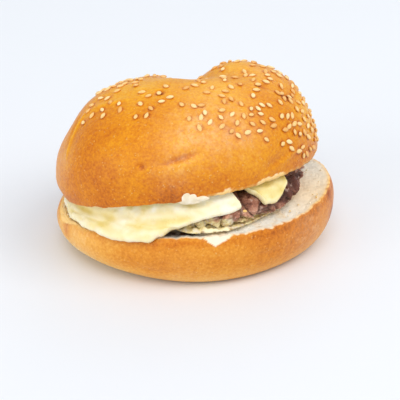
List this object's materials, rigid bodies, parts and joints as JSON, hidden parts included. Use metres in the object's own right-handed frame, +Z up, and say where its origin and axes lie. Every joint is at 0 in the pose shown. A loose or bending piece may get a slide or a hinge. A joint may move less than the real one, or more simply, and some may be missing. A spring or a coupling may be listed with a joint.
{
  "type": "hamburger",
  "caption": "Hamburger in a sesame seed bun with a domed, two-lobed crown, melted cheese hanging over the edge, a rough beef patty and a smear of pale sauce.",
  "frame": {"origin": "middle of the foot that the burger stands on", "axes": "+X along the bun's longer way, across the open front; +Y away from the open front; +Z up"},
  "size_m": [0.1132, 0.0967, 0.0706],
  "materials": {
    "heel_crust": "soft golden bread crust",
    "pale_sauce": "wet creamy sauce",
    "fried_mince": "rough, slightly greasy fried meat",
    "melted_cheese": "smooth, softly shining melted cheese",
    "crown_crust": "smooth, faintly glazed bread crust with sesame seeds"
  },
  "bodies": {
    "root": {"heel": "heel_crust", "sauce": "pale_sauce", "patty": "fried_mince", "cheese": "melted_cheese", "crown": "crown_crust"}
  },
  "joints": []
}
